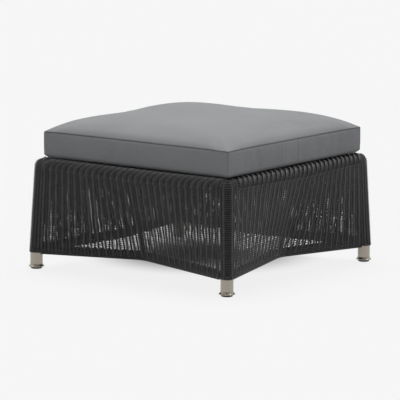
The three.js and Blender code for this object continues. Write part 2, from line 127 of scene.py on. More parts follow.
# Wale under the border, and hem under the low rail
WALE_WIDTH = 0.0039
WALE_THICK = 0.0030
WALE_SIDES = 6
WALE_DROP = 0.002  # below the foot of the border
WALE_OVER = 0.0034  # how far out it lies over a strong stake
WALE_BETWEEN = 0.0012  # between two stakes
WALE_UNDER = -0.0002  # and under a weak one
HEM_WIDTH = 0.0036
HEM_TURNS = (58, 90, 122, 72, 96)  # degrees down from straight out of the low rail
HEM_LIFTS = (0.0050, 0.0052, 0.0050, 0.0076, 0.0078)

# Weave round a leg
CORNER_PLACES = (0.0125, 0.0240, 0.0355)  # of its stakes, on both sides of the leg's outer edge
CORNER_ARC = 0.017  # half of the way that is bent round the leg
CORNER_REACH = 0.040
CORNER_END = 0.006  # how far the rows run on past that
CORNER_LIFT = 0.0027
CORNER_STEP = 0.0004
CORNER_FOOT = 0.0005  # foot of its stakes over the weave's lower edge
CORNER_STEPS = 9
CORNER_LOW_ROWS = 4
CORNER_JITTER = 0.6  # share of the jitter of a side's rows
DOME_ROWS = 9
DOME_START = 0.08  # stakes on the domed top, in quarter turns
DOME_END = 0.72
DOME_NARROW = 0.3  # least share of its width that a stake keeps there
EDGE_LIFT = 0.0012  # of every second row, on the leg's outer edge
CORNER_HEM_RISES = (0.0014, 0.0040, 0.0066)
CORNER_HEM_LIFTS = (0.0022, 0.0030, 0.0022)
CORNER_HEM_STEPS = 25
CORNER_HEM_WIDTH = 0.00315
CORNER_HEM_THICK = 0.0027

# Woven deck
DECK_STRANDS = 56
DECK_BAND = 0.0072
DECK_THICK = 0.0014
DECK_BAND_SIDES = 4
DECK_MARGIN = 0.001  # from the axes of the top rails
DECK_SINK = 0.0022  # middle of the bands below the top of the deck
DECK_SWING = 0.0007  # of a band over and under the others
DECK_GRIP = 0.002  # where a band bends beside the middle of another

# Painted light of the weave: tones from 0, painted shade deep in it, to 1, a painted highlight where a strand
# stands proud
FLANK = 0.25  # share of its ridge's tone that the flank of a strand has, as painted shade from its neighbours
STAKE_TONE = 0.15
STAKE_TONE_STEP = 0.13
GAP_TONE = 0.16
ROW_TONE = 0.25
ROW_TONE_STEP = 0.14
WALE_TONE = 0.04
WALE_TONE_STEP = 0.46
HEM_TONE = 0.12
ROLL_TONE = 0.05
ROLL_TONE_STEP = 0.62
CREST_TONE = 0.55
LEG_TONE = 0.30
BESIDE_LEG_TONE = 0.12
EDGE_TONE = 0.25
DECK_TONE = 0.5

# Smallest numbers that the sums use
TINY = 1e-12
SMALL_STEP = 1e-4
SAME_PLACE = 1e-6

SIDE_SEED = 40
CORNER_SEED = 80
SIDES = ["front", "right", "back", "left"]
CORNERS = ["front_right", "back_right", "back_left", "front_left"]


# Meshes

def unit(vectors):
    return vectors / np.maximum(np.linalg.norm(vectors, axis=-1, keepdims=True), TINY)


def quarter_turns(points, turns):
    """The points turned about Z by quarter turns, as the sides of the frame are."""
    for _ in range(turns % 4):
        points = np.stack([-points[..., 1], points[..., 0], points[..., 2]], axis=-1)
    return points


def mesh_piece(name, vertices, polygons, material, body, mark, values):
    """A piece of the object. polygons holds arrays of faces, each array with one number of sides.
    mark names an attribute that the material reads, and values are its numbers from 0 to 1, one a vertex."""
    mesh = bpy.data.meshes.new(name)
    vertices = np.asarray(vertices, dtype=np.float32).reshape(-1, 3)
    loops = np.concatenate([p.reshape(-1) for p in polygons])
    sizes = np.concatenate([np.full(len(p), p.shape[1]) for p in polygons])
    mesh.vertices.add(len(vertices))
    mesh.vertices.foreach_set("co", vertices.reshape(-1))
    mesh.loops.add(len(loops))
    mesh.loops.foreach_set("vertex_index", loops.astype(np.int32))
    mesh.polygons.add(len(sizes))
    mesh.polygons.foreach_set("loop_start", (np.cumsum(sizes) - sizes).astype(np.int32))
    mesh.update(calc_edges=True)
    mesh.validate()
    mesh.polygons.foreach_set("use_smooth", np.full(len(mesh.polygons), True))
    mesh.attributes.new(mark, "FLOAT", "POINT").data.foreach_set("value", values.astype(np.float32))
    mesh.materials.append(material)
    piece = bpy.data.objects.new(name, mesh)
    bpy.context.scene.collection.objects.link(piece)
    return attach(piece, body)


def sweep(path, across, out, section, painted_light):
    """Tubes along many paths at once: path, across and out are (tubes, points, 3), and section is (sides, 2).
    The tone given for a tube's outer ridge is painted light; its flanks are darker, with painted shade from
    its neighbours."""
    tubes, points = path.shape[:2]
    sides = len(section)
    rings = path[:, :, None] + across[:, :, None] * section[:, 0:1] + out[:, :, None] * section[:, 1:2]
    index = np.arange(tubes * points * sides).reshape(tubes, points, sides)
    turned = np.roll(index, -1, axis=2)
    walls = np.stack([index[:, :-1], turned[:, :-1], turned[:, 1:], index[:, 1:]], axis=-1).reshape(-1, 4)
    caps = np.concatenate([index[:, 0, ::-1], index[:, -1]])
    ridge = FLANK + (1 - FLANK) * np.clip(section[:, 1] / section[:, 1].max(), 0, 1)
    tones = np.broadcast_to(painted_light, (tubes, points))[:, :, None] * ridge
    return rings.reshape(-1, 3), [walls, caps], tones.reshape(-1)


def joined(parts):
    """One set of vertices, polygons and tones from several."""
    polygons = []
    start = 0
    for points, faces, _ in parts:
        polygons += [f + start for f in faces]
        start += len(points)
    return np.concatenate([part[0] for part in parts]), polygons, np.concatenate([part[2] for part in parts])


def oval(width, height, sides):
    turn = (np.arange(sides) + 0.5) / sides * 2 * math.pi
    return np.stack([width / 2 * np.cos(turn), height / 2 * np.sin(turn)], axis=1)


def even_places(count):
    """Places spread evenly from -1 to 1, the outer ones half a pitch in."""
    return (np.arange(count) + 0.5) / count * 2 - 1


def alternate(index):
    """1 for even numbers, and -1 for odd ones."""
    return np.where(index % 2 == 0, 1, -1)


def ended(values, first, last):
    """The values of each row with one more at each end."""
    return np.concatenate([first, values, last], axis=1)


def ends_repeated(values):
    return ended(values, values[:, :1], values[:, -1:])


# The woven side, laid on a surface that runs from the low rail up and over the top rail

def bend_share(way):
    """From 0 at the legs to nearly 1 at the bend of the low rail, rounded there."""
    near = (way * way + LOW_BEND**2) / (2 * LOW_BEND)
    return 1 - np.where(np.abs(way) < LOW_BEND, near, np.abs(way)) / BASE_HALF


def side_section(way):
    """Centres of the low and top rails at a way along a side, and where the weave leaves them."""
    bend = bend_share(way)
    share = way / BASE_HALF
    low = np.stack([way, -LOW_HALF + LOW_INSET * bend, LOW_Z + LOW_RISE * bend], axis=-1)
    top = np.stack([share * TOP_HALF, np.full_like(share, -TOP_HALF), np.full_like(share, RAIL_Z)], axis=-1)
    rise = top[..., 2] - low[..., 2]
    inward = low[..., 1] - top[..., 1]
    reach = np.hypot(rise, inward)
    turn = np.arctan2(rise, inward) - np.arccos((LOW_WRAP - WRAP_INNER) / reach)
    return low, top, turn, np.sqrt(reach**2 - (LOW_WRAP - WRAP_INNER) ** 2)


def straight_at(way):
    """How far the weave runs between the low rail and the top rail."""
    return side_section(np.asarray(way, dtype=float))[3]


def side_point(way, along, lift):
    """A point of the woven side: along is the way up from where the weave leaves the low rail."""
    way, along, lift = np.broadcast_arrays(*[np.asarray(v, dtype=float) for v in (way, along, lift)])
    low, top, turn, straight = side_section(way)
    under = turn + np.minimum(along, 0) / (LOW_WRAP + WEAVE / 2)
    over = turn + np.maximum(along - straight, 0) / (WRAP_INNER + WEAVE / 2)
    part = np.clip(along / straight, 0, 1)[..., None]
    radius = LOW_WRAP + (WRAP_INNER - LOW_WRAP) * part[..., 0] + lift
    angle = np.where(along < 0, under, over)
    spoke = np.stack([np.zeros_like(angle), -np.cos(angle), np.sin(angle)], axis=-1)
    return low + (top - low) * part + spoke * radius[..., None]


def corner_point(way, along, lift):
    """A point of the weave round the front right leg: way runs from the front side to the right one."""
    way, along, lift = np.broadcast_arrays(*[np.asarray(v, dtype=float) for v in (way, along, lift)])
    flat = np.maximum(np.abs(way) - CORNER_ARC, 0)
    drop = np.minimum(along, 0)
    point = side_point(BASE_HALF - flat, np.maximum(along, 0), lift)
    point = point + np.stack([-drop * LEG_LEAN, drop * LEG_LEAN, drop], axis=-1)
    x, y, z = point[..., 0], point[..., 1], point[..., 2]
    part = (np.minimum(z, RAIL_Z) - FOOT_Z) / (RAIL_Z - FOOT_Z)
    half = BASE_HALF + (TOP_HALF - BASE_HALF) * part
    turn = (np.clip(way / CORNER_ARC, -1, 1) + 1) * math.pi / 4
    away = -y - half
    before, after = way < -CORNER_ARC, way > CORNER_ARC
    around_x = np.where(before, x, np.where(after, -y, half + away * np.sin(turn)))
    around_y = np.where(before, y, np.where(after, -x, -half - away * np.cos(turn)))
    return np.stack([around_x, around_y, z], axis=-1)


def surface_frame(surface, way, along, lift):
    """Points of a woven surface, and the directions across, up and out there."""
    point = surface(way, along, lift)
    across = unit(surface(way + SMALL_STEP, along, lift) - surface(way - SMALL_STEP, along, lift))
    up = unit(surface(way, along + SMALL_STEP, lift) - surface(way, along - SMALL_STEP, lift))
    out = unit(np.cross(across, up))
    return point, across, up, out


def stake_places(rng):
    return even_places(STAKES) * SIDE_REACH + rng.uniform(-1, 1, STAKES) * STAKE_JITTER


def sways(rng):
    """How each stake sways along its side: its reach, turn and length."""
    reach = rng.normal(0, SWAY, STAKES)
    turn = rng.uniform(0, 2 * math.pi, STAKES)
    length = rng.uniform(*SWAY_LENGTH, STAKES)
    return reach, turn, length


def swayed(sway, stake, along):
    reach, turn, length = (part[stake] for part in sway)
    return reach * np.sin(turn + 2 * math.pi * along / length)


def relief(along, straight):
    """From 0 on the rails to 1 between them, where a pair's stakes stand at different depths."""
    from_low = np.clip((along + RELIEF_BELOW) / RELIEF_RUN, 0, 1)
    return from_low * np.clip((straight + RELIEF_ABOVE - along) / RELIEF_RUN, 0, 1)


def closed_up(way, along, straight):
    """From 0 low down to 1 in the upper part of a side, where the weave is closer."""
    start = CLOSE_START - CLOSE_FALL * np.abs(way) / BASE_HALF
    return np.clip((along / straight - start) / CLOSE_RUN, 0, 1)


def stakes(places, sway):
    """The upright flat stakes, which curl round the low rail and end on the top rail."""
    straight = straight_at(places)
    low = np.linspace(-STAKE_CURL * LOW_WRAP, 0, CURL_STEPS)[None, :] + np.zeros((STAKES, 1))
    high = straight[:, None] * np.linspace(0, 1, RISE_STEPS)[None, 1:]
    over = straight[:, None] + np.linspace(0, STAKE_OVER, OVER_STEPS)[None, 1:]
    along = np.concatenate([low, high, over], axis=1)
    depth = relief(along, straight[:, None])
    strength = alternate(np.arange(STAKES))[:, None]
    lift = STAKE_LIFT + STAKE_STEP * strength * depth
    way = places[:, None] + swayed(sway, np.arange(STAKES)[:, None], along)
    point, across, _, out = surface_frame(side_point, way, along, lift)
    spread = 1 + STAKE_SPREAD * closed_up(places[:, None], along, straight[:, None])
    # Painted light: strong stakes paler and weak ones darker, where they stand at different depths
    painted_light = STAKE_TONE + STAKE_TONE_STEP * strength * depth
    return sweep(point, across * spread[..., None], out, oval(STAKE_WIDTH, STAKE_THICK, STAKE_SIDES), painted_light)


def stations_over(places):
    """Where a strand bends as it passes the stakes, and the stake that it passes there, or -1 between two."""
    half = STAKE_WIDTH * STRAND_GRIP
    over = np.stack([places - half, places + half], axis=1)
    gaps = (over[:-1, 1] + over[1:, 0]) / 2
    stations = np.concatenate([over.reshape(-1), gaps])
    order = np.argsort(stations)
    stake = np.concatenate([np.repeat(np.arange(len(places)), 2), np.full(len(gaps), -1)])
    return stations[order], stake[order]


def row_lifts(stake, rows, middle, step):
    """How far out a row of strands lies as it passes over and under the stakes, and its tone there, which is
    painted light: palest where it lies out over a strong stake, and painted shade under a weak one and in the
    gaps between stakes.
    """
    level = np.where(stake < 0, 0, alternate(stake[None, :] + rows[:, None]))
    strength = np.where(stake < 0, 0, alternate(stake))[None, :]
    lift = middle + step * strength + (STAKE_THICK / 2 + STRAND_RADIUS) * level
    on_stake = ROW_TONE + ROW_TONE_STEP * strength + ROW_TONE_STEP * level
    return lift, np.clip(np.where(stake < 0, GAP_TONE, on_stake), 0, 1)


def row_heights(rows):
    """The rows in units of their pitch: they lie in twos, so that the gaps between stakes show in dots."""
    return rows + 0.5 + ROW_PAIRING * alternate(rows)


def jitter(rng, shape):
    return rng.normal(0, ROW_JITTER, (shape[0], 1)) + rng.normal(0, BEND_JITTER, shape)


def side_strands(places, sway, rng):
    """The thin strands that pass over and under the stakes of a side, one row above another."""
    rows = np.arange(-LOW_ROWS, ROWS + TOP_ROWS)
    stations, stake = stations_over(places)
    deep, painted_light = row_lifts(stake, rows, STAKE_LIFT, STAKE_STEP)
    flat, _ = row_lifts(stake, rows, STAKE_LIFT, 0)
    way = np.broadcast_to(stations[None, :], deep.shape)
    pitch = float(straight_at(BASE_HALF / 2)) / ROWS
    along = row_heights(rows)[:, None] * np.where(rows[:, None] < 0, pitch, straight_at(way) / ROWS)
    lift = flat + (deep - flat) * relief(along, straight_at(way))
    on_rail = (along < RAIL_ZONE) | (along > straight_at(way) - RAIL_ZONE)
    lift = np.where(on_rail, np.maximum(lift, STRAND_RADIUS), lift)
    along = along + jitter(rng, lift.shape)
    nearest = np.abs(stations[:, None] - places[None, :]).argmin(axis=1)[None, :]
    way = way + swayed(sway, nearest, along)
    way = ended(way, way[:, :1] - STRAND_END, way[:, -1:] + STRAND_END)
    along = ends_repeated(along)
    lift = ended(lift, lift[:, :1] - STRAND_TUCK, lift[:, -1:] - STRAND_TUCK)
    point, _, up, out = surface_frame(side_point, way, along, lift)
    across = -up * (1 + STRAND_SPREAD * closed_up(way, along, straight_at(way)))[..., None]
    section = oval(2 * STRAND_RADIUS, 2 * STRAND_RADIUS, STRAND_SIDES)
    return sweep(point, across, out, section, ends_repeated(painted_light))


def wale(places):
    """The thick strand that ties the pairs of stakes together under the border."""
    stations, stake = stations_over(places)
    outward = np.where(stake < 0, WALE_BETWEEN, np.where(stake % 2 == 0, WALE_OVER, WALE_UNDER))
    lift = STAKE_LIFT + outward[None, :]
    along = straight_at(stations)[None, :] - ROLL_FOOT - WALE_DROP
    point, _, up, out = surface_frame(side_point, stations[None, :], along, lift)
    # Painted light: paler where it lies out over a strong stake, and painted shade under a weak one
    painted_light = np.clip(WALE_TONE + WALE_TONE_STEP * outward / WALE_OVER, 0, 1)[None, :]
    return sweep(point, -up, out, oval(WALE_WIDTH, WALE_THICK, WALE_SIDES), painted_light)


def low_hem():
    """Thick strands along the underside of the low rail, in two layers, which close the weave off."""
    way = np.linspace(-SIDE_REACH, SIDE_REACH, 2 * STAKES)[None, :]
    turn = side_section(way)[2] + np.radians(HEM_TURNS)[:, None]
    along = -turn * (LOW_WRAP + WEAVE / 2)
    point, _, up, out = surface_frame(side_point, way, along, np.array(HEM_LIFTS)[:, None])
    # A dark tone on the scale of painted light and shade, under the low rail
    return sweep(point, -up, out, oval(HEM_WIDTH, WALE_THICK, WALE_SIDES), HEM_TONE)


def rolled_border(places, way_round):
    """The ends of each pair of stakes, which lean over the top rail in a row of arches.
    They lean one way (1) on top, and the other way (-1) beneath."""
    pitch = 2 * SIDE_REACH / PAIRS
    feet = (places[0::2] + places[1::2]) / 2
    lane = even_places(ROLL_STRANDS) / 2
    t = np.linspace(0, 1, ROLL_STEPS)
    lean = way_round * pitch * (ROLL_LEAN * t + ROLL_OVER * t**2 * (3 - 2 * t))
    foot = (feet[:, None] + ROLL_WIDTH * lane[None, :] * pitch).reshape(-1)
    on_top = way_round > 0
    over = np.tile(0.5 - lane, PAIRS) if on_top else np.zeros(PAIRS * ROLL_STRANDS)
    along = straight_at(foot)[:, None] - ROLL_FOOT + t[None, :] * ROLL_LENGTH
    way = foot[:, None] + lean[None, :]
    arch = np.sin(np.pi * np.clip(t, ARCH_START, 1))[None, :] ** ARCH_POWER
    lift = (ROLL_LIFT if on_top else ROLL_UNDER) + ROLL_DOME * over[:, None] * arch
    point, _, _, out = surface_frame(side_point, way, along, lift)
    width = unit(np.cross(unit(np.gradient(point, axis=1)), out))
    # Painted light: strands on top are paler the higher they dome, with a painted highlight round the crest;
    # the strands beneath are in painted shade
    crest = np.exp(-(((t - ROLL_CREST) / CREST_WIDTH) ** 2))[None, :]
    painted_light = np.clip(ROLL_TONE + over[:, None] * (ROLL_TONE_STEP + CREST_TONE * crest), 0, 1)
    return sweep(point, width, out, oval(ROLL_STRAND_WIDTH, ROLL_STRAND_THICK, ROLL_SIDES), painted_light)


def edges(places):
    """What finishes a side: the rolled border and its wale at the top, and the hem below."""
    return joined([rolled_border(places, 1), rolled_border(places, -1), wale(places), low_hem()])


# The weave round a leg

def corner_places():
    half = np.array(CORNER_PLACES)
    return np.concatenate([-half[::-1], half])


def corner_stakes(places):
    """Stakes that lie on a leg and run in over its domed top."""
    straight = float(straight_at(BASE_HALF))
    quarter = (WRAP_INNER + WEAVE / 2) * math.pi / 2
    on_wall = np.linspace(FOOT_Z - LOW_Z + CORNER_FOOT, straight, CORNER_STEPS)
    on_dome = straight + quarter * np.linspace(DOME_START, DOME_END, CORNER_STEPS)
    along = np.concatenate([on_wall, on_dome])[None, :]
    point, across, _, out = surface_frame(corner_point, places[:, None], along, CORNER_LIFT + CORNER_STEP)
    on_leg = np.abs(places)[:, None] <= CORNER_ARC
    tapered = np.clip(np.cos((along - straight) / quarter * math.pi / 2), DOME_NARROW, 1)
    narrow = np.where(on_leg & (along > straight), tapered, 1)
    # Painted light: the stakes on the leg paler than those beside it
    painted_light = np.where(on_leg, LEG_TONE, BESIDE_LEG_TONE)
    return sweep(point, across * narrow[..., None], out, oval(STAKE_WIDTH, STAKE_THICK, STAKE_SIDES), painted_light)


def corner_strands(places, rng):
    """The rows of strands that go round a leg from one side to the next."""
    rows = np.arange(-CORNER_LOW_ROWS, ROWS + DOME_ROWS)
    stations, stake = stations_over(places)
    mirrored = np.where(stake < 0, -1, np.minimum(stake, len(places) - 1 - stake))
    lift, painted_light = row_lifts(mirrored, rows, CORNER_LIFT, CORNER_STEP)
    lift = np.maximum(lift, STRAND_RADIUS)
    # Every second row on the leg's outer edge stands out, with a set tone on the scale of painted light and
    # shade
    edge_row = (np.abs(stations) < CORNER_PLACES[0] / 2)[None, :] & (rows % 2 == 0)[:, None]
    painted_light = np.where(edge_row, EDGE_TONE, painted_light)
    lift = np.where(edge_row, CORNER_LIFT + EDGE_LIFT, lift)
    pitch = float(straight_at(BASE_HALF)) / ROWS
    along = row_heights(rows)[:, None] * pitch + jitter(rng, lift.shape) * CORNER_JITTER
    along = ends_repeated(np.maximum(along, FOOT_Z - LOW_Z + STRAND_RADIUS))
    end = np.full((len(rows), 1), CORNER_REACH + CORNER_END)
    way = ended(np.broadcast_to(stations[None, :], lift.shape), -end, end)
    on_tube = np.full((len(rows), 1), STRAND_RADIUS)
    lift = ended(lift, on_tube, on_tube)
    point, _, up, out = surface_frame(corner_point, way, along, lift)
    section = oval(2 * STRAND_RADIUS, 2 * STRAND_RADIUS, STRAND_SIDES)
    return sweep(point, -up, out, section, ends_repeated(painted_light))


def corner_hem():
    """Thick strands round the foot of a leg's weave, over the ends of its stakes."""
    way = np.linspace(-1, 1, CORNER_HEM_STEPS)[None, :] * CORNER_REACH
    along = FOOT_Z - LOW_Z + np.array(CORNER_HEM_RISES)[:, None]
    point, _, up, out = surface_frame(corner_point, way, along, np.array(CORNER_HEM_LIFTS)[:, None])
    # The same dark tone of painted shade as the hem of a side
    return sweep(point, -up, out, oval(CORNER_HEM_WIDTH, CORNER_HEM_THICK, WALE_SIDES), HEM_TONE)


# The woven deck

def deck_bands():
    """Flat bands that cross over and under each other between the rails."""
    half = TOP_HALF - DECK_MARGIN
    places = even_places(DECK_STRANDS) * half
    gaps = (places[:-1] + places[1:]) / 2
    stations = np.sort(np.concatenate([places - DECK_GRIP, places + DECK_GRIP, gaps, [-half, half]]))
    nearest = np.abs(stations[:, None] - places[None, :]).argmin(axis=1)
    is_gap = np.abs(np.abs(stations - places[nearest]) - DECK_GRIP) > SAME_PLACE
    parts = []
    for direction in range(2):
        over = (np.arange(DECK_STRANDS)[:, None] + nearest[None, :] + direction) % 2 * 2 - 1
        lift = np.where(is_gap[None, :], 0, over * DECK_SWING)
        keep = np.broadcast_to(places[:, None], lift.shape)
        reach = half - np.sqrt(np.maximum(0, BOUND_RADIUS**2 - (half - np.abs(keep)) ** 2))
        run = np.clip(stations[None, :], -reach, reach)
        first, second = (run, keep) if direction == 0 else (keep, run)
        point = np.stack([first, second, DECK_Z - DECK_SINK + lift], axis=-1)
        out = np.broadcast_to([0.0, 0.0, 1.0], point.shape)
        across = np.broadcast_to([0.0, 1.0, 0.0] if direction == 0 else [-1.0, 0.0, 0.0], point.shape)
        # An even tone on the scale of painted light; sweep adds painted shade on the bands' flanks
        parts.append(sweep(point, across, out, oval(DECK_BAND, DECK_THICK, DECK_BAND_SIDES), DECK_TONE))
    return joined(parts)


# The cushion, on which s and t run from -1 to 1 between opposite seams

CUSHION_HALF = 0.336
CUSHION_PLACE = np.array([0.0029, 0.0022, 0])  # it lies a little off the middle
CUSHION_CELLS = 56
LOW_SEAM_Z = 0.3408
TOP_SEAM_Z = 0.408
UNDER_Z = 0.3297
UNDER_ROUND = 0.026  # how far in from its seam the underside turns flat
SEAM_PULL = 0.002  # how far the middle of a side is drawn in
SEAM_SINK = 0.0024  # how deep the upper seam lies between the corners
SINK_POWER = 8  # how close to the corners it stays that deep
SEAM_LIP = 0.0024  # from a seam to the first grid line beside it
LIP_REACH = 0.0018  # how far the lip along the upper seam stands out
LIP_RISE = 0.0030
UPRIGHT_SHADE = 0.45  # of the upright seams' painted shade, as a share of the upper one's
LOW_SHADE = 0.25  # and of the lower seam
BOXING_BULGE = 0.0022
BOXING_ROWS = 8
CROWN = 0.0445
CROWN_POWER = 5.0  # how flat the crown is round its middle
CROWN_EDGE = 0.52  # how fast it rises from the seams: less is faster
LUMP_WIDTH = 0.28
LUMPS = [(-0.75, -0.2, -0.0045), (-0.45, 0.35, 0.0085), (-0.2, 0.6, -0.0040), (0.55, 0.8, 0.0040),
         (0.35, -0.45, 0.0020), (-0.25, -0.55, -0.0015)]  # s, t and height
JOINT = 0.027  # where the ends of the boxing meet, on two of its sides
CREASES = [(-0.225, 0.0007), (-0.17, 0.0005)]  # place and depth, on one side
NICK = 0.006  # half the width of a joint or crease
NICK_ROOM = 1.6  # least way from its middle to the next grid line, in nicks
FILL_FRAMES = 20
TOP_SWELL = 0.0035  # most that the cloth moves as it fills
SIDE_SWELL = 0.0012


def cushion_lines():
    """Grid lines across the cushion: close at its seams, and at the boxing's joint and creases."""
    even = np.linspace(-1, 1, CUSHION_CELLS + 1)
    lines = (0.5 * even + 0.5 * np.sin(even * math.pi / 2)) * (1 - SEAM_LIP / CUSHION_HALF)
    for place in [JOINT] + [crease for crease, _ in CREASES]:
        lines = lines[np.abs(lines - place) > NICK_ROOM * NICK]
        lines = np.concatenate([lines, [place - NICK, place, place + NICK]])
    return np.concatenate([[-1], np.sort(lines), [1]])


def drawn_in(s, t, reach):
    """A place on the cushion, whose sides are drawn in between its corners."""
    return s * (reach - SEAM_PULL * (1 - t * t)), t * (reach - SEAM_PULL * (1 - s * s))


def crown_height(s, t):
    fall = np.clip((1 - np.abs(s) ** CROWN_POWER) * (1 - np.abs(t) ** CROWN_POWER), 0, 1)
    edge = np.sqrt(np.clip((1 - s * s) * (1 - t * t), 0, 1))
    height = CROWN * fall**CROWN_EDGE
    for s0, t0, size in LUMPS:
        height = height + size * edge * np.exp(-((s - s0) ** 2 + (t - t0) ** 2) / (2 * LUMP_WIDTH**2))
    return height


def under_height(s, t):
    inward = np.clip((1 - np.maximum(np.abs(s), np.abs(t))) * CUSHION_HALF / UNDER_ROUND, 0, 1)
    return LOW_SEAM_Z - (LOW_SEAM_Z - UNDER_Z) * np.sqrt(1 - (1 - inward) ** 2)


def cushion_panels(s, t):
    """Points of the top, which has a lip along its seam, and of the underside."""
    edge = np.maximum(np.abs(s), np.abs(t))
    lip = (edge < 1) & (edge > 1 - 1.5 * SEAM_LIP / CUSHION_HALF)
    sunk = SEAM_SINK * (1 - np.minimum(np.abs(s), np.abs(t)) ** SINK_POWER)
    reach = CUSHION_HALF + np.where(edge == 1, -sunk, np.where(lip, LIP_REACH, 0))
    x, y = drawn_in(s, t, reach)
    crown = np.where(lip, LIP_RISE, crown_height(s, t))
    top = np.stack([x, y, TOP_SEAM_Z + crown], axis=-1).reshape(-1, 3)
    x, y = drawn_in(s, t, CUSHION_HALF)
    under = np.stack([x, y, under_height(s, t)], axis=-1).reshape(-1, 3)
    return top, under


def boxing_sink(s, t):
    """How far the boxing is drawn in at its joints, and at two creases on one side."""
    across = (np.abs(s) == 1) & (np.abs(t - JOINT) < NICK / 2)
    sink = np.where(across, SEAM_SINK / 2, 0)
    for place, depth in CREASES:
        sink = np.where((s == 1) & (np.abs(t - place) < NICK / 2), depth, sink)
    return sink


def boxing_rings(s, t):
    """Rings of points round the boxing, from just above the lower seam to just below the upper one."""
    height = TOP_SEAM_Z - LOW_SEAM_Z
    between = np.linspace(0, 1, BOXING_ROWS + 1)[1:-1] * height
    from_corner = np.sqrt(np.clip((1 - s**2) + (1 - t**2), 0, 1))
    sink = boxing_sink(s, t)
    rings = []
    for rise in [SEAM_LIP, *between, height - SEAM_LIP]:
        bulge = BOXING_BULGE * math.sin(math.pi * rise / height)
        x, y = drawn_in(s, t, CUSHION_HALF + bulge * from_corner - sink)
        rings.append(np.stack([x, y, np.full_like(x, LOW_SEAM_Z + rise)], axis=-1))
    return rings


def cushion_shape():
    """Vertices, faces, held vertices and painted seam shade of the cushion: two panels, and the boxing
    between.
    """
    lines = cushion_lines()
    s, t = np.meshgrid(lines, lines, indexing="ij")
    top, under = cushion_panels(s, t)
    index = np.arange(s.size).reshape(s.shape)
    quads = np.stack([index[:-1, :-1], index[1:, :-1], index[1:, 1:], index[:-1, 1:]], axis=-1).reshape(-1, 4)
    ring = np.concatenate([index[:-1, 0], index[-1, :-1], index[:0:-1, -1], index[0, :0:-1]])
    ring_s, ring_t = s.reshape(-1)[ring], t.reshape(-1)[ring]
    rings = boxing_rings(ring_s, ring_t)
    boxing = np.concatenate(rings)
    starts = len(top) + len(under) + len(ring) * np.arange(len(rings))
    loops = [len(top) + ring] + [start + np.arange(len(ring)) for start in starts] + [ring]
    bands = []
    for low, high in zip(loops[:-1], loops[1:]):
        bands.append(np.stack([low, np.roll(low, -1), np.roll(high, -1), high], axis=-1))
    faces = [quads, quads[:, ::-1] + len(top)] + bands
    rim = (np.maximum(np.abs(s), np.abs(t)) == 1).reshape(-1)
    held = np.concatenate([rim, np.full(len(under), True), np.full(len(boxing), False)])
    upright = (np.abs(ring_s) == 1) & ((np.abs(ring_t) == 1) | (np.abs(ring_t - JOINT) < NICK / 2))
    shade = np.concatenate([rim, rim * LOW_SHADE, np.tile(upright * UPRIGHT_SHADE, len(rings))])
    return np.concatenate([top, under, boxing]) + CUSHION_PLACE, faces, held, shade


def swell(piece, held):
    """Fills the cushion by a cloth simulation with pressure, and caps how far its cloth moves."""
    base = np.array([v.co for v in piece.data.vertices])
    group = piece.vertex_groups.new(name="held")
    group.add([int(i) for i in np.flatnonzero(held)], 1.0, "REPLACE")
    cloth = piece.modifiers.new("fill", "CLOTH")
    settings = cloth.settings
    settings.quality = 5
    settings.mass = 0.3
    settings.tension_stiffness = 15
    settings.compression_stiffness = 15
    settings.shear_stiffness = 5
    settings.bending_stiffness = 0.3
    settings.use_pressure = True
    settings.uniform_pressure_force = 1.2
    settings.shrink_min = -0.012
    settings.effector_weights.gravity = 0
    settings.vertex_group_mass = "held"
    cloth.point_cache.frame_start = 1
    cloth.point_cache.frame_end = FILL_FRAMES
    for step in range(1, FILL_FRAMES + 1):
        bpy.context.scene.frame_set(step)
    graph = bpy.context.evaluated_depsgraph_get()
    filled = piece.evaluated_get(graph).to_mesh()
    moved = np.array([v.co for v in filled.vertices]) - base
    piece.evaluated_get(graph).to_mesh_clear()
    piece.modifiers.remove(cloth)
    length = np.linalg.norm(moved, axis=1, keepdims=True)
    cap = np.where(base[:, 2:3] > TOP_SEAM_Z, TOP_SWELL, SIDE_SWELL)
    capped = moved * cap / (cap + length)
    piece.data.vertices.foreach_set("co", (base + capped).astype(np.float32).reshape(-1))
    piece.data.update()
    bpy.context.scene.frame_set(1)
    piece.vertex_groups.clear()


# Materials: a darker and a paler tone of each, in linear light

# Strand tones under painted shade deep in the weave, and under a painted highlight where it stands proud
STRAND_SHADED = ((0.007, 0.007, 0.0073), (0.014, 0.014, 0.014))
STRAND_HIGHLIGHTED = ((0.160, 0.160, 0.164), (0.268, 0.266, 0.262))
COAT_TONES = ((0.012, 0.012, 0.013), (0.022, 0.022, 0.023))
FOOT_TONES = ((0.32, 0.29, 0.245), (0.42, 0.385, 0.327))
SCREW_TONES = ((0.42, 0.43, 0.45), (0.60, 0.61, 0.62))
PLASTIC_TONES = ((0.008, 0.008, 0.008), (0.02, 0.02, 0.02))
CANVAS_TONES = ((0.312, 0.321, 0.332), (0.340, 0.349, 0.360))
YARN_SHARES = ((0.80, 0.80, 0.80), (1.16, 1.16, 1.16))  # of the canvas's tone
# Painted shade along the cushion's seams
SEAM_PAINTED_SHADE = (0.085, 0.087, 0.090)
NOISE_RANGE = (0.3, 0.7)  # of the noise between the darker tone and the paler one

# Floor and backdrop
FLOOR_TONES = ((0.885, 0.885, 0.885), (0.895, 0.895, 0.895))
BACKDROP = (0.924, 0.924, 0.924)
FLOOR_BOUNCE = 0.46  # tone of the floor for the light that it throws back
FLOOR_MIDDLE = (-0.12, 0.16, 0.0)
FLOOR_DARK = 0.08  # the floor has no glow within this of its middle
FLOOR_OPEN = 0.40  # and all of it beyond this
FLOOR_GLOW = 0.92
FLOOR_HALF = 30.0


def new_material(name):
    material = bpy.data.materials.new(name)
    material.use_nodes = True
    nodes = material.node_tree.nodes
    return material, nodes, material.node_tree.links, nodes["Principled BSDF"]


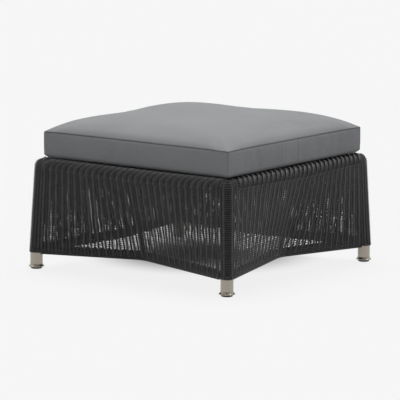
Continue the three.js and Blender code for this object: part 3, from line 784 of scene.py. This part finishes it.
def object_noise(nodes, links, scale, detail, stretch=(1, 1, 1)):
    place = nodes.new("ShaderNodeTexCoord")
    mapping = nodes.new("ShaderNodeMapping")
    mapping.inputs["Scale"].default_value = stretch
    noise = nodes.new("ShaderNodeTexNoise")
    noise.inputs["Scale"].default_value = scale
    noise.inputs["Detail"].default_value = detail
    links.new(place.outputs["Object"], mapping.inputs["Vector"])
    links.new(mapping.outputs["Vector"], noise.inputs["Vector"])
    return noise.outputs["Fac"]


def toned(nodes, links, noise, tones):
    """A colour that goes with the noise from the darker tone to the paler one."""
    ramp = nodes.new("ShaderNodeValToRGB")
    for element, place, tone in zip(ramp.color_ramp.elements, NOISE_RANGE, tones):
        element.position = place
        element.color = (*tone, 1)
    links.new(noise, ramp.inputs["Fac"])
    return ramp.outputs["Color"]


def bump_from(nodes, links, value, shader, distance, strength):
    bump = nodes.new("ShaderNodeBump")
    bump.inputs["Distance"].default_value = distance
    bump.inputs["Strength"].default_value = strength
    links.new(value, bump.inputs["Height"])
    links.new(bump.outputs["Normal"], shader.inputs["Normal"])


def math_of(nodes, links, operation, first, second=None):
    node = nodes.new("ShaderNodeMath")
    node.operation = operation
    for socket, value in zip(node.inputs, (first, second)):
        if value is None:
            continue
        if isinstance(value, (int, float)):
            socket.default_value = value
        else:
            links.new(value, socket)
    return node.outputs["Value"]


def colour_mix(nodes, links, factor, first, second, blend="MIX"):
    mix = nodes.new("ShaderNodeMix")
    mix.data_type = "RGBA"
    mix.blend_type = blend
    for socket, value in zip((mix.inputs[0], mix.inputs[6], mix.inputs[7]), (factor, first, second)):
        if isinstance(value, tuple):
            socket.default_value = (*value, 1)
        elif isinstance(value, float):
            socket.default_value = value
        else:
            links.new(value, socket)
    return mix.outputs[2]


def attribute_of(nodes, name):
    node = nodes.new("ShaderNodeAttribute")
    node.attribute_name = name
    return node.outputs["Fac"]


def weave_material():
    """Charcoal strand, with painted shade in the depth of the weave and a painted highlight where it stands
    out.
    """
    material, nodes, links, shader = new_material("charcoal_strand")
    noise = object_noise(nodes, links, scale=60, detail=6)
    deep = toned(nodes, links, noise, STRAND_SHADED)
    proud = toned(nodes, links, noise, STRAND_HIGHLIGHTED)
    colour = colour_mix(nodes, links, attribute_of(nodes, "painted_light"), deep, proud)
    links.new(colour, shader.inputs["Base Color"])
    grain = object_noise(nodes, links, scale=900, detail=3)
    bump_from(nodes, links, grain, shader, distance=0.0002, strength=0.5)
    shader.inputs["Roughness"].default_value = 0.42
    shader.inputs["Specular IOR Level"].default_value = 0.42
    return material


def paint_material():
    material, nodes, links, shader = new_material("black_powder_coat")
    noise = object_noise(nodes, links, scale=25, detail=5)
    links.new(toned(nodes, links, noise, COAT_TONES), shader.inputs["Base Color"])
    peel = object_noise(nodes, links, scale=700, detail=2)
    bump_from(nodes, links, peel, shader, distance=0.0002, strength=0.4)
    shader.inputs["Roughness"].default_value = 0.55
    return material


def metal_material(name, tones, roughness, grain_stretch):
    material, nodes, links, shader = new_material(name)
    grain = object_noise(nodes, links, scale=500, detail=4, stretch=grain_stretch)
    links.new(toned(nodes, links, grain, tones), shader.inputs["Base Color"])
    bump_from(nodes, links, grain, shader, distance=0.0001, strength=0.35)
    shader.inputs["Metallic"].default_value = 1.0
    shader.inputs["Roughness"].default_value = roughness
    return material


def plastic_material():
    material, nodes, links, shader = new_material("black_plastic")
    noise = object_noise(nodes, links, scale=120, detail=4)
    links.new(toned(nodes, links, noise, PLASTIC_TONES), shader.inputs["Base Color"])
    bump_from(nodes, links, noise, shader, distance=0.0002, strength=0.3)
    shader.inputs["Roughness"].default_value = 0.42
    return material


def canvas_threads(nodes, links):
    """The height of the canvas's threads: fine waves along each axis, added up."""
    place = nodes.new("ShaderNodeTexCoord")
    height = None
    for axis in "XYZ":
        wave = nodes.new("ShaderNodeTexWave")
        wave.bands_direction = axis
        wave.inputs["Scale"].default_value = 260
        wave.inputs["Distortion"].default_value = 0.6
        wave.inputs["Detail Scale"].default_value = 2.0
        links.new(place.outputs["Object"], wave.inputs["Vector"])
        thread = wave.outputs["Fac"]
        height = thread if height is None else math_of(nodes, links, "ADD", height, thread)
    return height


def canvas_material():
    """Grey canvas, mottled by its yarn, with painted shade in its seams."""
    material, nodes, links, shader = new_material("grey_canvas")
    soft = toned(nodes, links, object_noise(nodes, links, scale=7, detail=5), CANVAS_TONES)
    yarn = toned(nodes, links, object_noise(nodes, links, scale=1400, detail=3), YARN_SHARES)
    cloth = colour_mix(nodes, links, 1.0, soft, yarn, blend="MULTIPLY")
    # Painted shade in the seams, by the seam mark
    sewn = colour_mix(nodes, links, attribute_of(nodes, "seam"), cloth, SEAM_PAINTED_SHADE)
    links.new(sewn, shader.inputs["Base Color"])
    bump_from(nodes, links, canvas_threads(nodes, links), shader, distance=0.0003, strength=0.35)
    shader.inputs["Roughness"].default_value = 0.92
    shader.inputs["Sheen Weight"].default_value = 0.12
    shader.inputs["Sheen Roughness"].default_value = 0.5
    shader.inputs["Specular IOR Level"].default_value = 0.2
    return material


def seen_directly(nodes, links):
    """The light path node, and a value that is 1 where the camera looks, also through something."""
    path = nodes.new("ShaderNodeLightPath")
    camera, through = path.outputs["Is Camera Ray"], path.outputs["Is Transmission Ray"]
    return path, math_of(nodes, links, "MAXIMUM", camera, through)


def floor_glow(nodes, links):
    """How much the floor glows: nothing in the middle, under the stool, and more on the open floor."""
    place = nodes.new("ShaderNodeTexCoord")
    from_middle = nodes.new("ShaderNodeVectorMath")
    from_middle.operation = "SUBTRACT"
    from_middle.inputs[1].default_value = FLOOR_MIDDLE
    links.new(place.outputs["Object"], from_middle.inputs[0])
    away = nodes.new("ShaderNodeVectorMath")
    away.operation = "LENGTH"
    links.new(from_middle.outputs["Vector"], away.inputs[0])
    share = nodes.new("ShaderNodeMapRange")
    share.interpolation_type = "SMOOTHSTEP"
    share.inputs["From Min"].default_value = FLOOR_DARK
    share.inputs["From Max"].default_value = FLOOR_OPEN
    share.inputs["To Max"].default_value = FLOOR_GLOW
    links.new(away.outputs["Value"], share.inputs["Value"])
    return share.outputs["Result"]


def floor_material():
    """Pale where the camera or a reflection sees it, and darker for the light that it throws back."""
    material, nodes, links, shader = new_material("pale_floor")
    path, direct = seen_directly(nodes, links)
    seen = math_of(nodes, links, "MAXIMUM", direct, path.outputs["Is Glossy Ray"])
    pale = toned(nodes, links, object_noise(nodes, links, scale=0.4, detail=2), FLOOR_TONES)
    links.new(colour_mix(nodes, links, seen, (FLOOR_BOUNCE,) * 3, pale), shader.inputs["Base Color"])
    shader.inputs["Roughness"].default_value = 0.9
    shader.inputs["Specular IOR Level"].default_value = 0.0
    glow = nodes.new("ShaderNodeEmission")
    glow.inputs["Color"].default_value = (*BACKDROP, 1)
    mix = nodes.new("ShaderNodeMixShader")
    links.new(math_of(nodes, links, "MULTIPLY", seen, floor_glow(nodes, links)), mix.inputs["Fac"])
    links.new(shader.outputs["BSDF"], mix.inputs[1])
    links.new(glow.outputs["Emission"], mix.inputs[2])
    links.new(mix.outputs["Shader"], nodes["Material Output"].inputs["Surface"])
    return material


WEAVE_LOOK = weave_material()
PAINT = paint_material()
FOOT_METAL = metal_material("brushed_foot_metal", FOOT_TONES, roughness=0.30, grain_stretch=(1, 1, 14))
SCREW_METAL = metal_material("zinc_screw", SCREW_TONES, roughness=0.4, grain_stretch=(1, 1, 1))
PLASTIC = plastic_material()
CANVAS = canvas_material()


# Pieces of the weave

def weave_piece(name, shape, turns, node):
    vertices, polygons, painted_light = shape
    vertices = quarter_turns(vertices, turns)
    # The mark holds the weave's painted light and shade.
    piece = mesh_piece(name, vertices, polygons, WEAVE_LOOK, "stool", "painted_light", painted_light)
    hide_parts(node)


def weave_side(turns, side):
    rng = np.random.default_rng(SIDE_SEED + turns)
    places = stake_places(rng)
    sway = sways(rng)
    node = f"woven_skirt_{side}"
    weave_piece(f"stakes_{side}", stakes(places, sway), turns, node)
    weave_piece(f"strands_{side}", side_strands(places, sway, rng), turns, node)
    weave_piece(f"border_{side}", edges(places), turns, node)


def weave_corner(turns, corner):
    rng = np.random.default_rng(CORNER_SEED + turns)
    places = corner_places()
    node = f"woven_corner_{corner}"
    rows = joined([corner_strands(places, rng), corner_hem()])
    weave_piece(f"corner_stakes_{corner}", corner_stakes(places), turns, node)
    weave_piece(f"corner_strands_{corner}", rows, turns, node)


for turns, side in enumerate(SIDES):
    weave_side(turns, side)
for turns, corner in enumerate(CORNERS):
    weave_corner(turns, corner)
weave_piece("deck_bands", deck_bands(), 0, "woven_deck")


# The cushion's piece

def make_cushion():
    vertices, faces, held, shade = cushion_shape()
    # The seam mark carries the painted seam shade.
    piece = mesh_piece("cushion_cover", vertices, faces, CANVAS, "cushion", "seam", shade)
    swell(piece, held)
    ends = np.zeros(2 * len(piece.data.edges), dtype=np.int32)
    piece.data.edges.foreach_get("vertices", ends)
    sewn = (shade > 0)[ends.reshape(-1, 2)].all(axis=1)
    crease = piece.data.attributes.new("crease_edge", "FLOAT", "EDGE")
    crease.data.foreach_set("value", sewn.astype(np.float32))
    smooth = piece.modifiers.new("smooth", "SUBSURF")
    smooth.levels = 1
    smooth.render_levels = 1
    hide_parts("cushion_core", "cushion_top", "cushion_boxing", "cushion_underside")


make_cushion()


# Materials of the frame's own nodes, by the start of their names

NODE_LOOKS = {
    "top_rail": PAINT,
    "low_rail": PAINT,
    "mid_strut": PAINT,
    "leg": PAINT,
    "deck_brace": PAINT,
    "foot_tube": FOOT_METAL,
    "foot_collar": FOOT_METAL,
    "foot_insert": PLASTIC,
    "foot_stud": SCREW_METAL,
    "foot_pad": PLASTIC,
}

for name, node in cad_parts.items():
    look = next((look for start, look in NODE_LOOKS.items() if name.startswith(start)), None)
    if look:
        node.data.materials.clear()
        node.data.materials.append(look)

# Camera, at the photograph's place: radians, metres, and millimetres for the lens and sensor

CAMERA_TURN = 0.639466
CAMERA_PITCH = 0.160703
CAMERA_ROLL = -0.005589
CAMERA_DISTANCE = 8.355
CAMERA_AIM = Vector((0, 0, 0.2))
CAMERA_SHIFT = (-0.0055, -0.0043)
CAMERA_LENS = 252.0
CAMERA_SENSOR = 36.0


def make_camera():
    turn, pitch = CAMERA_TURN, CAMERA_PITCH
    back = Vector((math.sin(turn) * math.cos(pitch), -math.cos(turn) * math.cos(pitch), math.sin(pitch)))
    right = Vector((math.cos(turn), math.sin(turn), 0))
    up = back.cross(right)
    data = bpy.data.cameras.new("camera")
    data.lens = CAMERA_LENS
    data.sensor_width = CAMERA_SENSOR
    camera = bpy.data.objects.new("camera", data)
    bpy.context.scene.collection.objects.link(camera)
    camera.location = CAMERA_AIM + back * CAMERA_DISTANCE + right * CAMERA_SHIFT[0] + up * CAMERA_SHIFT[1]
    rolled_right = right * math.cos(CAMERA_ROLL) - up * math.sin(CAMERA_ROLL)
    rolled_up = right * math.sin(CAMERA_ROLL) + up * math.cos(CAMERA_ROLL)
    rotation = np.array([rolled_right, rolled_up, back]).T
    camera.rotation_mode = "QUATERNION"
    camera.rotation_quaternion = Matrix(rotation.tolist()).to_quaternion()
    bpy.context.scene.camera = camera


make_camera()


# Floor and light

KEY_FROM = (-0.16, 0.22, 1.0)
KEY_STRENGTH = 2.45
KEY_ANGLE = 35  # degrees that the light is wide
SIDEWAYS = (0.80, 0.60, 0.0)
FORWARD = (0.597, -0.802, 0.0)
FILL = 0.12  # light from all round
SIDE_FILL = 1.0  # more of it from both sides
SIDE_POWER = 4  # how narrow that is
MIRRORED_FRONT = 0.25  # tone of the front of the room in reflections


def make_floor():
    corners = [(-FLOOR_HALF, -FLOOR_HALF, 0), (FLOOR_HALF, -FLOOR_HALF, 0),
               (FLOOR_HALF, FLOOR_HALF, 0), (-FLOOR_HALF, FLOOR_HALF, 0)]
    mesh = bpy.data.meshes.new("floor")
    mesh.from_pydata(corners, [], [(0, 1, 2, 3)])
    mesh.materials.append(floor_material())
    floor = bpy.data.objects.new("floor", mesh)
    bpy.context.scene.collection.objects.link(floor)


def make_key_light():
    data = bpy.data.lights.new("key", "SUN")
    data.energy = KEY_STRENGTH
    data.angle = math.radians(KEY_ANGLE)
    lamp = bpy.data.objects.new("key", data)
    lamp.rotation_mode = "QUATERNION"
    lamp.rotation_quaternion = Vector(KEY_FROM).to_track_quat("Z", "Y")
    bpy.context.scene.collection.objects.link(lamp)


def toward(nodes, links, direction, axis):
    dot = nodes.new("ShaderNodeVectorMath")
    dot.operation = "DOT_PRODUCT"
    dot.inputs[1].default_value = axis
    links.new(direction, dot.inputs[0])
    return dot.outputs["Value"]


def make_world():
    """Soft light from both sides, and a pale room that the camera sees; reflections see its front darker."""
    world = bpy.data.worlds.new("studio")
    world.use_nodes = True
    nodes = world.node_tree.nodes
    links = world.node_tree.links
    direction = nodes.new("ShaderNodeTexCoord").outputs["Generated"]
    side = math_of(nodes, links, "ABSOLUTE", toward(nodes, links, direction, SIDEWAYS))
    side = math_of(nodes, links, "POWER", side, SIDE_POWER)
    side = math_of(nodes, links, "MULTIPLY", side, SIDE_FILL)
    lit = math_of(nodes, links, "ADD", side, FILL)
    front = math_of(nodes, links, "MAXIMUM", toward(nodes, links, direction, FORWARD), 0.0)
    mirrored = colour_mix(nodes, links, front, BACKDROP, (MIRRORED_FRONT,) * 3)
    path, direct = seen_directly(nodes, links)
    colour = colour_mix(nodes, links, path.outputs["Is Glossy Ray"], lit, mirrored)
    colour = colour_mix(nodes, links, direct, colour, BACKDROP)
    links.new(colour, nodes["Background"].inputs["Color"])
    bpy.context.scene.world = world


make_floor()
make_world()
make_key_light()
bpy.context.scene.view_settings.view_transform = "Standard"
